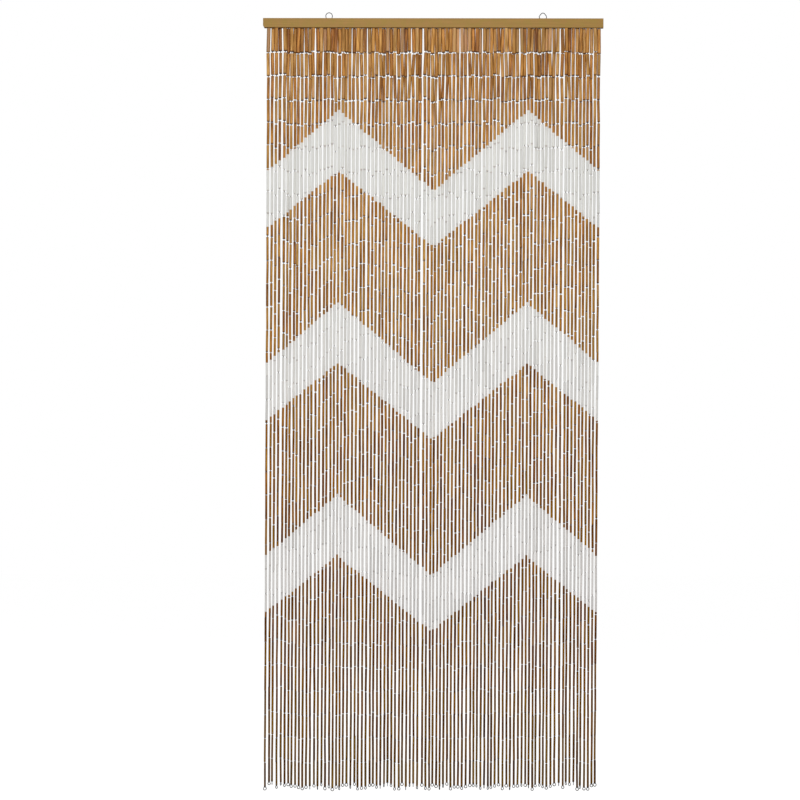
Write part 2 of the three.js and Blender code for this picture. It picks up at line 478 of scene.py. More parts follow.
@dataclass
class NodeSheet:
    """Adds nodes to one node tree and links them.

    Args:
        tree: The tree to work on.
    """

    tree: bpy.types.NodeTree

    def add(self, kind: str, **settings: object) -> Node:
        """A new node with some of its properties set.

        Args:
            kind: Kind of node.
            settings: A value for each property's name.

        Returns:
            The node.
        """
        node = self.tree.nodes.new(kind)
        for name, value in settings.items():
            setattr(node, name, value)
        return node

    def feed(self, socket: Socket, value: Value) -> None:
        """Links a socket to another one, or gives it a constant.

        Args:
            socket: The socket to feed.
            value: Another node's socket, or the constant.
        """
        if isinstance(value, Socket):
            self.tree.links.new(value, socket)
        else:
            socket.default_value = value

    def math(self, operation: str, first: Value, second: Value = 0.0) -> Socket:
        """Result of a Math node.

        Args:
            operation: The node's operation.
            first: First number.
            second: Second number.

        Returns:
            The result.
        """
        node = self.add("ShaderNodeMath", operation=operation)
        self.feed(node.inputs[0], first)
        self.feed(node.inputs[1], second)
        return node.outputs[0]

    def product(self, *values: Value) -> Socket:
        """All the given numbers multiplied, from the last one back.

        Args:
            values: Two numbers or more.

        Returns:
            Their product.
        """
        first, *rest = values
        second = rest[0] if len(rest) == 1 else self.product(*rest)
        return self.math("MULTIPLY", first, second)

    def scaled(self, value: Value, factor: float, start: float) -> Socket:
        """A value times a factor, plus a start.

        Args:
            value: The value.
            factor: What it is multiplied by.
            start: What is added then.

        Returns:
            The result.
        """
        result = self.math("MULTIPLY_ADD", value, factor)
        self.feed(result.node.inputs[2], start)
        return result

    def smooth(self, value: Value, low: float, high: float) -> Socket:
        """A soft step from 0 to 1.

        Args:
            value: What the step goes by.
            low: Where it leaves 0.
            high: Where it comes to 1.

        Returns:
            The step.
        """
        node = self.add("ShaderNodeMapRange", interpolation_type="SMOOTHSTEP")
        self.feed(node.inputs["Value"], value)
        self.feed(node.inputs["From Min"], low)
        self.feed(node.inputs["From Max"], high)
        return node.outputs["Result"]

    def mix(self, factor: Value, first: Value, second: Value, mode: str = "MIX") -> Socket:
        """Two colours mixed.

        Args:
            factor: Share of the second one.
            first: The colour that factor 0 leaves.
            second: The colour that factor 1 lays on.
            mode: How it is laid on.

        Returns:
            The mixed colour.
        """
        node = self.add("ShaderNodeMix", data_type="RGBA", blend_type=mode)
        self.feed(node.inputs["Factor"], factor)
        lower, upper = (socket for socket in node.inputs if socket.type == "RGBA")
        self.feed(lower, first)
        self.feed(upper, second)
        return next(socket for socket in node.outputs if socket.type == "RGBA")

    def shade(self, colour: Value, light: Value) -> Socket:
        """A colour with all three of its numbers times a light.

        Args:
            colour: The colour.
            light: The light.

        Returns:
            The shaded colour.
        """
        return self.mix(1.0, colour, self.vector(light), "MULTIPLY")

    def vector(self, value: Value) -> Socket:
        """A vector with the same number along each axis.

        Args:
            value: The number.

        Returns:
            The vector.
        """
        node = self.add("ShaderNodeCombineXYZ")
        for socket in node.inputs:
            self.feed(socket, value)
        return node.outputs[0]

    def noise(self, vector: Socket, scale: float, detail: float = 2.0) -> Socket:
        """Value of a Noise Texture.

        Args:
            vector: Where the noise is read.
            scale: Cells of noise for each unit of length.
            detail: Number of finer layers.

        Returns:
            A number round one half.
        """
        node = self.add("ShaderNodeTexNoise")
        self.feed(node.inputs["Vector"], vector)
        node.inputs["Scale"].default_value = scale
        node.inputs["Detail"].default_value = detail
        return node.outputs[0]

    def mapped(self, vector: Socket, scale: Triple) -> Socket:
        """Coordinates stretched along their axes.

        Args:
            vector: The coordinates.
            scale: What each one is multiplied by.

        Returns:
            The stretched coordinates.
        """
        node = self.add("ShaderNodeMapping")
        self.feed(node.inputs["Vector"], vector)
        node.inputs["Scale"].default_value = scale
        return node.outputs["Vector"]

    def parts(self, vector: Socket) -> list[Socket]:
        """The three numbers of a vector.

        Args:
            vector: The vector.

        Returns:
            One socket for each number.
        """
        split = self.add("ShaderNodeSeparateXYZ")
        self.feed(split.inputs[0], vector)
        return list(split.outputs)

    def attribute(self, name: str) -> list[Socket]:
        """The three numbers of a vector attribute."""
        return self.parts(self.add("ShaderNodeAttribute", attribute_name=name).outputs["Vector"])

    def ramp(self, value: Value, stops: Stops) -> Socket:
        """A colour read from a row of stops.

        Args:
            value: Where in the row to read.
            stops: A place and a colour for each stop.

        Returns:
            The colour.
        """
        node = self.add("ShaderNodeValToRGB")
        self.feed(node.inputs["Fac"], value)
        elements = node.color_ramp.elements
        while len(elements) < len(stops):
            elements.new(1.0)
        for element, (place, colour) in zip(elements, stops, strict=True):
            element.position = place
            element.color = (*colour, 1.0)
        return node.outputs["Color"]

    def place(self, group: bpy.types.NodeTree, **inputs: Value) -> Node:
        """A copy of a node group in this tree.

        Args:
            group: The node group.
            inputs: What each input is fed with, by name.

        Returns:
            The group's node.
        """
        node = self.add("ShaderNodeGroup", node_tree=group)
        for name, value in inputs.items():
            self.feed(node.inputs[name], value)
        return node

    def relief(self, shader: Node, height: Socket, strength: float, distance: float) -> None:
        """Gives a shader a fine relief.

        Args:
            shader: The shader.
            height: How high the surface stands.
            strength: How strongly it shows.
            distance: How far it stands out at a height of 1.
        """
        bump = self.add("ShaderNodeBump")
        bump.inputs["Strength"].default_value = strength
        bump.inputs["Distance"].default_value = distance
        self.feed(bump.inputs["Height"], height)
        self.feed(shader.inputs["Normal"], bump.outputs[0])


def new_group(
    name: str, inputs: dict[str, str], outputs: dict[str, str]
) -> tuple[NodeSheet, Node, Node]:
    """An empty shader node group.

    Args:
        name: Name of the group.
        inputs: Kind of socket for each input's name.
        outputs: Kind of socket for each output's name.

    Returns:
        A sheet for its tree, its input node and its output node.
    """
    tree = bpy.data.node_groups.new(name, "ShaderNodeTree")
    for label, kind in inputs.items():
        tree.interface.new_socket(name=label, in_out="INPUT", socket_type=kind)
    for label, kind in outputs.items():
        tree.interface.new_socket(name=label, in_out="OUTPUT", socket_type=kind)
    sheet = NodeSheet(tree)
    return sheet, sheet.add("NodeGroupInput"), sheet.add("NodeGroupOutput")


@dataclass
class Effects:
    """The node groups that several finishes share. Scales are cells of noise in a metre."""

    streak_scale: float = 380.0
    thread_scale: float = 2200.0
    speck_factor: float = 9.0
    patch_detail: float = 3.0
    fibres: bpy.types.NodeTree = field(init=False)
    mottle: bpy.types.NodeTree = field(init=False)

    def __post_init__(self) -> None:
        """Makes both groups."""
        self.fibres = self._fibres()
        self.mottle = self._mottle()

    def _fibres(self) -> bpy.types.NodeTree:
        """Lengthwise fibres: noise drawn out along one axis, in coarse streaks and fine threads.

        Returns:
            The group.
        """
        sheet, given, result = new_group(
            "lengthwise_fibres",
            {"Vector": "NodeSocketVector", "Offset": "NodeSocketFloat"},
            {"Streaks": "NodeSocketFloat", "Threads": "NodeSocketFloat"},
        )
        moved = sheet.add("ShaderNodeVectorMath", operation="ADD")
        sheet.feed(moved.inputs[0], given.outputs["Vector"])
        sheet.feed(moved.inputs[1], sheet.vector(given.outputs["Offset"]))
        for label, scale in (("Streaks", self.streak_scale), ("Threads", self.thread_scale)):
            sheet.feed(result.inputs[label], sheet.noise(moved.outputs[0], scale))
        return sheet.tree

    def _mottle(self) -> bpy.types.NodeTree:
        """Uneven patches: broad clouds and small specks from two noises.

        Returns:
            The group.
        """
        sheet, given, result = new_group(
            "uneven_patches",
            {"Vector": "NodeSocketVector", "Scale": "NodeSocketFloat"},
            {"Clouds": "NodeSocketFloat", "Specks": "NodeSocketFloat"},
        )
        for label, factor in (("Clouds", 1.0), ("Specks", self.speck_factor)):
            scaled = sheet.add("ShaderNodeVectorMath", operation="SCALE")
            sheet.feed(scaled.inputs[0], given.outputs["Vector"])
            sheet.feed(scaled.inputs["Scale"], sheet.product(given.outputs["Scale"], factor))
            sheet.feed(result.inputs[label], sheet.noise(scaled.outputs[0], 1.0, self.patch_detail))
        return sheet.tree


def new_material(name: str) -> tuple[bpy.types.Material, NodeSheet, Node]:
    """A material with a Principled shader.

    Args:
        name: Name of the material.

    Returns:
        The material, a sheet for its nodes and the shader.
    """
    material = bpy.data.materials.new(name)
    material.use_nodes = True
    material.node_tree.nodes.clear()
    sheet = NodeSheet(material.node_tree)
    shader = sheet.add("ShaderNodeBsdfPrincipled")
    output = sheet.add("ShaderNodeOutputMaterial")
    sheet.feed(output.inputs["Surface"], shader.outputs[0])
    return material, sheet, shader


@dataclass(frozen=True)
class TubeSockets:
    """What the bamboo's finish reads on a tube, each as a node's socket.

    Args:
        hue: Chance number for the hue.
        strength: Chance number for the lightness.
        seed: Chance number for the fibres and for the dark ends, from scorching and painted shade.
        along: Place along the tube, from -1 at its top to 1, and past that inside a bore.
        half_length: Half the tube's length.
        fall: How far down its strand the tube is, from 0 to 1.
        phase: Place among the painted bands, in periods.
        share: Part of a period that is painted.
        streaks: Coarse fibres.
        threads: Fine fibres.
    """

    hue: Socket
    strength: Socket
    seed: Socket
    along: Socket
    half_length: Socket
    fall: Socket
    phase: Socket
    share: Socket
    streaks: Socket
    threads: Socket


@dataclass(frozen=True)
class BambooFinish:
    """Varnished bamboo tube, tan to red brown, with the white zigzag paint over it."""

    effects: Effects

    # Wood: its tones, the painted shade that darkens and browns them down the strand, and how tube and
    # fibres lighten them
    tones: Stops = (
        (0.0, (0.235, 0.090, 0.030)),
        (0.14, (0.32, 0.134, 0.038)),
        (0.32, (0.40, 0.180, 0.044)),
        (0.6, (0.455, 0.226, 0.062)),
        (0.82, (0.50, 0.290, 0.105)),
        (0.95, (0.43, 0.240, 0.130)),
    )
    # Painted shade: the wood turns darker and browner down the strand, standing in for light that falls off
    # towards the bottom
    fades: Stops = (
        (0.0, (1.18, 1.175, 1.12)),
        (0.12, (1.12, 1.06, 0.84)),
        (0.33, (1.06, 1.005, 0.64)),
        (0.6, (0.79, 0.615, 0.13)),
        (0.86, (0.58, 0.44, 0.075)),
        (1.0, (0.50, 0.48, 0.20)),
    )
    fibre_draw: float = 0.06
    streak_tone: float = 1.1
    tube_light: Line = (0.46, 0.77)
    streak_light: Line = (1.9, 0.05)
    thread_light: Line = (0.3, 0.85)

    # Dark ends: partly scorching of the cut ends, partly painted shade at the joints; more at a tube's lower
    # end, and stronger on some tubes
    scorch_and_shade_tone: Colour = (0.17, 0.095, 0.06, 1.0)
    scorch_and_shade_span: Span = (4.4 * MM, 0.2 * MM)
    scorch_and_shade_ragged: float = 2.0 * MM
    lower_end_shade: Line = (0.65, 0.35)
    scorch_and_shade_seeds: float = 17.0
    dark_end_luck_span: Span = (0.05, 0.75)

    # Paint: its two whites, how much of the wood it follows or shows, and where it is thin
    paint: Colour = (0.84, 0.835, 0.795, 1.0)
    low_paint: Colour = (0.90, 0.87, 0.84, 1.0)
    low_paint_span: Span = (0.2, 0.8)
    paint_spread: float = 0.45
    coat_scorch_and_shade: float = 0.4
    thin_paint: float = 0.45
    cover_span: Span = (0.12, 0.34)

    # Bores, near black inside as painted shade, and surface
    bore: Colour = (0.012, 0.008, 0.005, 1.0)
    bore_shade_span: Span = (1.01, 1.12)
    streak_roughness: Line = (0.22, 0.32)
    paint_roughness: float = 0.58
    specular: float = 0.12
    relief: float = 0.35
    relief_height: float = 0.2 * MM
    thread_relief: float = 0.5

    def _read(self, sheet: NodeSheet) -> TubeSockets:
        """Reads what is stored on a tube, and the fibres there.

        Args:
            sheet: The material's nodes.

        Returns:
            All that the finish reads.
        """
        hue, strength, seed = sheet.attribute("tube_chance")
        along, half_length, fall = sheet.attribute("tube_place")
        phase, share, _ = sheet.attribute("paint_place")
        place = sheet.add("ShaderNodeTexCoord").outputs["Object"]
        drawn = sheet.mapped(place, (1.0, 1.0, self.fibre_draw))
        streaks, threads = sheet.place(self.effects.fibres, Vector=drawn, Offset=seed).outputs
        return TubeSockets(hue, strength, seed, along, half_length, fall, phase, share, streaks, threads)

    def _wood(self, sheet: NodeSheet, tube: TubeSockets, tube_light: Socket) -> Socket:
        """Colour of the wood: a tone of the tube and its streaks, shaded, then darkened down the strand as
        painted shade.

        Args:
            sheet: The material's nodes.
            tube: What is read on the tube.
            tube_light: How light the tube is.

        Returns:
            The colour.
        """
        streaked = sheet.product(sheet.math("SUBTRACT", tube.streaks, 0.5), self.streak_tone)
        colour = sheet.ramp(sheet.math("ADD", tube.hue, streaked), self.tones)
        streak_light = sheet.scaled(tube.streaks, *self.streak_light)
        thread_light = sheet.scaled(tube.threads, *self.thread_light)
        colour = sheet.shade(colour, sheet.product(tube_light, streak_light, thread_light))
        # Painted shade: darker and browner down the strand
        return sheet.mix(1.0, colour, sheet.ramp(tube.fall, self.fades), "MULTIPLY")

    def _scorch_and_joint_shade(self, sheet: NodeSheet, tube: TubeSockets) -> Socket:
        """Dark ends, from scorching and painted joint shade: most at the lower end, less at the upper, with
        a ragged edge.

        Args:
            sheet: The material's nodes.
            tube: What is read on the tube.

        Returns:
            A number from 0 to 1.
        """
        reach = sheet.math("ABSOLUTE", tube.along)
        from_end = sheet.product(sheet.math("SUBTRACT", 1.0, reach), tube.half_length)
        ragged = sheet.product(sheet.math("SUBTRACT", tube.threads, 0.5), self.scorch_and_shade_ragged)
        scorch_and_shade = sheet.smooth(sheet.math("ADD", from_end, ragged), *self.scorch_and_shade_span)
        # More painted shade at the lower end, where the tube's underside shows
        lower = sheet.scaled(sheet.math("GREATER_THAN", tube.along, 0.0), *self.lower_end_shade)
        luck = sheet.math("FRACT", sheet.product(tube.seed, self.scorch_and_shade_seeds))
        return sheet.product(scorch_and_shade, lower, sheet.smooth(luck, *self.dark_end_luck_span))

    def _painted(self, sheet: NodeSheet, tube: TubeSockets) -> Socket:
        """Where the bands are: 1 on the paint and 0 beside it.

        Args:
            sheet: The material's nodes.
            tube: What is read on the tube.

        Returns:
            The mask.
        """
        in_period = sheet.math("LESS_THAN", sheet.math("FRACT", tube.phase), tube.share)
        below_first = sheet.math("GREATER_THAN", tube.phase, 0.0)
        above_last = sheet.math("LESS_THAN", tube.phase, float(ZigzagBands.bands))
        return sheet.product(in_period, below_first, above_last)

    def _coat(
        self, sheet: NodeSheet, tube: TubeSockets, tube_light: Socket, scorch_and_shade: Socket, bare: Socket
    ) -> Socket:
        """Colour of a painted tube: thin where its threads are low, and dim at ends darkened by scorching
        and painted shade.

        Args:
            sheet: The material's nodes.
            tube: What is read on the tube.
            tube_light: How light the tube is.
            scorch_and_shade: How dark its ends are, from scorching and painted joint shade.
            bare: Colour of the unpainted tube.

        Returns:
            The colour.
        """
        cover = sheet.smooth(tube.threads, *self.cover_span)
        paint = sheet.mix(sheet.smooth(tube.fall, *self.low_paint_span), self.paint, self.low_paint)
        paint = sheet.mix(self.paint_spread, paint, sheet.shade(paint, tube_light))
        # Scorching and painted joint shade at the ends show through the paint
        full = sheet.mix(sheet.product(scorch_and_shade, self.coat_scorch_and_shade), paint, bare)
        return sheet.mix(cover, sheet.mix(self.thin_paint, paint, bare), full)

    def material(self) -> bpy.types.Material:
        """The node material.

        Returns:
            Bamboo with the paint over it.
        """
        material, sheet, shader = new_material("bamboo_and_paint")
        tube = self._read(sheet)
        tube_light = sheet.scaled(tube.strength, *self.tube_light)
        wood = self._wood(sheet, tube, tube_light)
        scorch_and_shade = self._scorch_and_joint_shade(sheet, tube)
        # Scorching and painted shade at the joints darken the wood at the ends
        bare = sheet.mix(scorch_and_shade, wood, sheet.mix(1.0, wood, self.scorch_and_shade_tone, "MULTIPLY"))
        painted = self._painted(sheet, tube)
        colour = sheet.mix(painted, bare, self._coat(sheet, tube, tube_light, scorch_and_shade, bare))
        # Painted shade: near black inside the bores
        inside = sheet.smooth(sheet.math("ABSOLUTE", tube.along), *self.bore_shade_span)
        sheet.feed(shader.inputs["Base Color"], sheet.mix(inside, colour, self.bore))
        wood_rough = sheet.scaled(tube.streaks, *self.streak_roughness)
        rough = sheet.math("MAXIMUM", wood_rough, sheet.product(painted, self.paint_roughness))
        sheet.feed(shader.inputs["Roughness"], rough)
        shader.inputs["Specular IOR Level"].default_value = self.specular
        height = sheet.math("ADD", tube.streaks, sheet.product(tube.threads, self.thread_relief))
        sheet.relief(shader, height, self.relief, self.relief_height)
        return material


@dataclass(frozen=True)
class RailPaint:
    """Olive gold paint brushed along the rail, darker at its edges."""

    effects: Effects
    colour: Colour = (0.385, 0.230, 0.051, 1.0)
    warm: Colour = (0.40, 0.215, 0.050, 1.0)
    warm_span: Span = (0.35, 0.65)
    green: Colour = (0.345, 0.230, 0.046, 1.0)
    green_span: Span = (0.5, 0.72)
    patch_scale: float = 70.0
    brush_draw: float = 0.03
    brush_light: Line = (0.3, 0.85)
    edge: Colour = (0.19, 0.088, 0.016, 1.0)
    lower_edge: Span = (1.8 * MM, 0.3 * MM)
    upper_edge: float = 1.2 * MM
    upper_share: float = 0.35
    roughness: Line = (0.25, 0.38)
    specular: float = 0.2
    relief: float = 0.3
    relief_height: float = 0.2 * MM

    def _darker_edges(self, sheet: NodeSheet, place: Socket) -> Socket:
        """How much darker the paint is: most along the rail's lower edge, and a little along its upper one.

        Args:
            sheet: The material's nodes.
            place: Coordinates on the rail.

        Returns:
            A number from 0 to 1.
        """
        low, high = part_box("rail")
        rail_height = high.z - low.z
        height = sheet.math("SUBTRACT", sheet.parts(place)[2], low.z)
        below = sheet.smooth(height, *self.lower_edge)
        above = sheet.smooth(height, rail_height - self.upper_edge, rail_height)
        return sheet.math("MAXIMUM", below, sheet.product(above, self.upper_share))

    def material(self) -> bpy.types.Material:
        """The node material.

        Returns:
            Brushed paint.
        """
        material, sheet, shader = new_material("olive_gold_paint")
        place = sheet.add("ShaderNodeTexCoord").outputs["Object"]
        brushed = sheet.mapped(place, (self.brush_draw, 1.0, 1.0))
        strokes = sheet.place(self.effects.fibres, Vector=brushed, Offset=0.0).outputs["Streaks"]
        patches = sheet.place(self.effects.mottle, Vector=place, Scale=self.patch_scale).outputs
        colour = sheet.mix(sheet.smooth(patches["Clouds"], *self.warm_span), self.warm, self.colour)
        colour = sheet.mix(sheet.smooth(patches["Specks"], *self.green_span), colour, self.green)
        colour = sheet.shade(colour, sheet.scaled(strokes, *self.brush_light))
        sheet.feed(shader.inputs["Base Color"], sheet.mix(self._darker_edges(sheet, place), colour, self.edge))
        sheet.feed(shader.inputs["Roughness"], sheet.scaled(patches["Clouds"], *self.roughness))
        shader.inputs["Specular IOR Level"].default_value = self.specular
        sheet.relief(shader, strokes, self.relief, self.relief_height)
        return material


class Wire(Enum):
    """The curtain's three wires, each with a bright and a dull tone. The links' dark brown is partly painted
    shade.
    """

    LOOP = ((0.09, 0.09, 0.088, 1.0), (0.035, 0.033, 0.031, 1.0))
    # Dark brown links: steel, darkened also as painted shade under the rail and at the joints
    LINK = ((0.085, 0.050, 0.032, 1.0), (0.022, 0.015, 0.011, 1.0))
    RING = ((0.05, 0.048, 0.045, 1.0), (0.035, 0.033, 0.031, 1.0))


@dataclass(frozen=True)
class WireFinish:
    """Plain grey or dark brown steel wire, dulled in patches; the links' dark brown is partly painted shade.
    """

    effects: Effects
    wire: Wire
    patch_scale: float = 160.0
    dull_span: Span = (0.35, 0.7)
    roughness: Line = (0.3, 0.2)
    metallic: float = 0.9

    def material(self) -> bpy.types.Material:
        """The node material.

        Returns:
            Wire of one of the three kinds.
        """
        bright, dull = self.wire.value
        material, sheet, shader = new_material(f"{self.wire.name.lower()}_wire")
        place = sheet.add("ShaderNodeTexCoord").outputs["Object"]
        patches = sheet.place(self.effects.mottle, Vector=place, Scale=self.patch_scale).outputs
        worn = sheet.smooth(patches["Clouds"], *self.dull_span)
        sheet.feed(shader.inputs["Base Color"], sheet.mix(worn, bright, dull))
        sheet.feed(shader.inputs["Roughness"], sheet.scaled(patches["Specks"], *self.roughness))
        shader.inputs["Metallic"].default_value = self.metallic
        return material


@dataclass(frozen=True)
class MapCells:
    """Cells on a piece's surface map, one for each tube: its wall laid flat, over the floors of its bores.

    All sizes are shares of a cell.
    """

    columns: int = 16
    left: float = 0.04
    width: float = 0.92
    bottom: float = 0.09
    height: float = 0.88
    ring_heights: tuple[float, ...] = (0.0, 0.045, 0.09, 0.91, 0.955, 1.0)
    floor_radius: float = 0.025
    floors: tuple[tuple[float, float], ...] = ((0.3, 0.045), (0.7, 0.045))

    def lay(self, mesh: bpy.types.Mesh, count: int, sides: int) -> None:
        """Lays every tube of a mesh in its cell.

        A corner of the wall is at its share of the way round and at its ring's height. A corner of a floor
        is on a small circle, at the cosine and sine of its turn.

        Args:
            mesh: The mesh, with all walls before all the floors.
            count: Number of tubes.
            sides: Vertices in a ring.
        """
        rows = math.ceil(count / self.columns)
        cell = np.stack([np.arange(count) % self.columns, np.arange(count) // self.columns], axis=-1)
        heights = self.bottom + self.height * np.array(self.ring_heights)
        side = np.arange(sides)
        wall_shape = (len(heights) - 1, sides, 4)
        u = np.stack([side, side, side + 1, side + 1], axis=-1) / sides
        u = np.broadcast_to(self.left + self.width * u, wall_shape)
        v = np.stack([heights[:-1], heights[1:], heights[1:], heights[:-1]], axis=-1)
        v = np.broadcast_to(v[:, None, :], wall_shape)
        turn = 2 * np.pi * side / sides
        circle = self.floor_radius * np.stack([np.cos(turn), np.sin(turn)], axis=-1)
        parts = [np.stack([u, v], axis=-1).reshape(-1, 2), *(circle + floor for floor in self.floors)]
        spots = [((part[None] + cell[:, None]) / (self.columns, rows)).reshape(-1) for part in parts]
        layer = mesh.uv_layers.new(name=UV_MAP)
        layer.data.foreach_set("uv", np.concatenate(spots).astype(np.float32))


@dataclass
class TubeRows:
    """All bamboo tubes, in pieces of a few neighbouring strands.

    Args:
        plan: Where the strands hang.
        bands: The painted zigzag.
        cells: How tubes lie on a piece's surface map.
    """

    plan: StrandPlan
    bands: ZigzagBands
    cells: MapCells = MapCells()
    strands_per_piece: int = 5

    # Rings of a tube from its upper bore to its lower one: place along it, and whether it is a sharp edge
    sides: int = 10
    bore: float = 0.42
    bore_depth: float = 3 * MM
    ring_along: tuple[float, ...] = (-1.6, -1.0, -1.0, 1.0, 1.0, 1.6)
    ring_sharp: tuple[bool, ...] = (False, True, True, True, True, False)

    # How loosely a tube lies on its wire, by rows
    slack_upper: float = 0.3 * MM
    slack_lower: float = 0.25 * MM
    slack_fade: float = 5.0

    # How neighbours lean together, most in the top row
    bunch_reach: float = 0.9 * MM
    bunch_overlap: float = 0.2 * MM
    bunch_fade: float = 1.0
    bunch_rounds: int = 25
    bunch_step: float = 0.25

    # How far tones spread, at a few tubes down the strand
    spread_tubes: tuple[int, ...] = (0, 1, 10, 16)
    tone_spreads: tuple[float, ...] = (1.0, 0.65, 0.65, 1.0)
    hue_share: float = 0.9

    def _bunching(self, middle: np.ndarray) -> np.ndarray:
        """How far each tube leans sideways against a close neighbour.

        In each round a gap that is narrower than the reach, which fades from row to row, closes by a step:
        both tubes move by that share of the gap, until they overlap a little as seen from the front.

        Args:
            middle: Place of each tube along X.

        Returns:
            One shift along X for each tube.
        """
        radii = self.plan.radii()
        reach = self.bunch_reach * np.exp(-self.plan.tube_row() / self.bunch_fade)
        shift = np.zeros_like(middle)
        for _ in range(self.bunch_rounds):
            gap = np.diff(middle + shift, axis=0) - radii[1:] - radii[:-1]
            narrow = (gap > -self.bunch_overlap) & (gap < reach)
            pull = np.where(narrow, gap + self.bunch_overlap, 0.0) * self.bunch_step
            shift[:-1] += pull
            shift[1:] -= pull
        return shift

    def _ends(self) -> tuple[np.ndarray, np.ndarray]:
        """Tops and bottoms of the tubes, each end moved sideways a little, as tubes lie loose on wire.

        Returns:
            Two arrays of strands, tubes and coordinates.
        """
        tops, bottoms = self.plan.tube_ends()
        strand, tube = self.plan.strand_column(), self.plan.tube_row()
        slack = self.slack_lower + (self.slack_upper - self.slack_lower) * np.exp(-tube / self.slack_fade)
        tops[..., 0] += slack * either(strand, Use.TUBE_TOP + tube)
        bottoms[..., 0] += slack * either(strand, Use.TUBE_BOTTOM + tube)
        lean = self._bunching((tops[..., 0] + bottoms[..., 0]) / 2)
        tops[..., 0] += lean
        bottoms[..., 0] += lean
        return tops, bottoms

    def _shell(self) -> tuple[np.ndarray, np.ndarray]:
        """Vertices of all tubes.

        A profile is carried round each axis: from inside the upper bore, over the end, down the wall, over
        the lower end and into the lower bore. A vertex is the axis point at the profile's depth, plus the
        profile's radius times the cosine and sine of the turn along two vectors square to the axis.

        Returns:
            Places, as an array of strands, tubes, rings, sides and coordinates, then half of each tube's
            length.
        """
        tops, bottoms = self._ends()
        axis = bottoms - tops
        length = np.linalg.norm(axis, axis=-1)
        up = -axis / length[..., None]
        across = unit(np.array([1.0, 0.0, 0.0]) - up * up[..., :1])
        back = np.cross(up, across)
        start = 2 * np.pi * chance(self.plan.strand_column(), Use.TUBE_TURN + self.plan.tube_row())
        turn = start[..., None] + 2 * np.pi * np.arange(self.sides) / self.sides
        zero = np.zeros_like(length)
        depths = [zero + self.bore_depth, zero, zero, length, length, length - self.bore_depth]
        widths = np.array([self.bore, self.bore, 1.0, 1.0, self.bore, self.bore])
        width = self.plan.radii()[..., None] * widths
        centre = tops[:, :, None, :] - up[:, :, None, :] * np.stack(depths, axis=-1)[..., None]
        cosine, sine = np.cos(turn)[..., None], np.sin(turn)[..., None]
        outward = cosine * across[:, :, None, :] + sine * back[:, :, None, :]
        places = centre[:, :, :, None, :] + width[..., None, None] * outward[:, :, None, :, :]
        return places, length / 2

    def _faces(self, count: int) -> list[np.ndarray]:
        """Faces of a number of tubes: bands between neighbouring rings, then the floor of each bore.

        Args:
            count: Number of tubes.

        Returns:
            The bands, the upper floors and the lower floors.
        """
        rings = len(self.ring_along)
        ring = np.arange(rings - 1)[:, None] * self.sides
        next_ring = ring + self.sides
        side = np.arange(self.sides)
        beside = (side + 1) % self.sides
        corners = [ring + side, next_ring + side, next_ring + beside, ring + beside]
        quads = np.stack(corners, axis=-1).reshape(-1, 4)
        first = (np.arange(count) * rings * self.sides)[:, None]
        bands = (quads[None] + first[:, :, None]).reshape(-1, 4)
        return [bands, first + side, first + (rings * self.sides - 1 - side)]

    def _luck(self) -> np.ndarray:
        """Three chance numbers for every tube: hue and strength of its tone, and a seed.

        Hue and strength spread round one half, by a share that changes in straight steps down the strand.

        Returns:
            An array of strands, tubes and the three numbers.
        """
        strand, tube = self.plan.strand_column(), self.plan.tube_row()
        hue, strength, seed = (chance(strand, Use.TUBE_TONE + part + 3 * tube) for part in range(3))
        spread = np.interp(tube, self.spread_tubes, self.tone_spreads)
        hue = 0.5 + (hue - 0.5) * np.minimum(spread, self.hue_share)
        return np.stack([hue, 0.5 + (strength - 0.5) * spread, seed], axis=-1)

    def _readings(self, places: np.ndarray, half_length: np.ndarray) -> dict[str, np.ndarray]:
        """What the finish reads on every vertex.

        Args:
            places: Vertices of all tubes.
            half_length: Half of each tube's length.

        Returns:
            Three numbers on each vertex, for each attribute's name.
        """
        strand, tube = self.plan.strand_column(), self.plan.tube_row()
        shape = places.shape[:4]
        luck = np.broadcast_to(self._luck()[:, :, None, None, :], (*shape, 3))
        along = np.broadcast_to(np.array(self.ring_along)[:, None], shape)
        half = np.broadcast_to(half_length[:, :, None, None], shape)
        fall = np.broadcast_to(((tube + 0.5) / self.plan.tubes)[:, :, None, None], shape)
        jitter = self.bands.jitter * either(strand, Use.PAINT_EDGE + tube)
        height = places[..., 2] + jitter[:, :, None, None]
        column = strand[:, :, None, None]
        phase = self.bands.phase(column, self.plan.strands, height)
        share = np.broadcast_to(self.bands.share(column, self.plan.strands), shape)
        return {
            "tube_chance": luck,
            "tube_place": np.stack([along, half, fall], axis=-1),
            "paint_place": np.stack([phase, share, np.zeros(shape)], axis=-1),
        }

    def build(self, material: bpy.types.Material) -> list[bpy.types.Object]:
        """Builds the pieces and gives them their finish.

        Args:
            material: Bamboo with its paint.

        Returns:
            The pieces.
        """
        places, half_length = self._shell()
        readings = self._readings(places, half_length)
        count = self.strands_per_piece * self.plan.tubes
        sharp_rings = np.tile(self.ring_sharp, count)
        pieces = []
        for first in range(0, self.plan.strands, self.strands_per_piece):
            last = first + self.strands_per_piece
            name = f"tubes_{first + 1:02d}_to_{last:02d}"
            mesh = mesh_from(name, places[first:last].reshape(-1, 3), self._faces(count))
            for label, values in readings.items():
                add_vectors(mesh, label, values[first:last])
            sharpen(mesh, self.sides, sharp_rings)
            self.cells.lay(mesh, count, self.sides)
            pieces.append(add_piece(name, mesh, material, [self.plan.node(first)]))
        return pieces


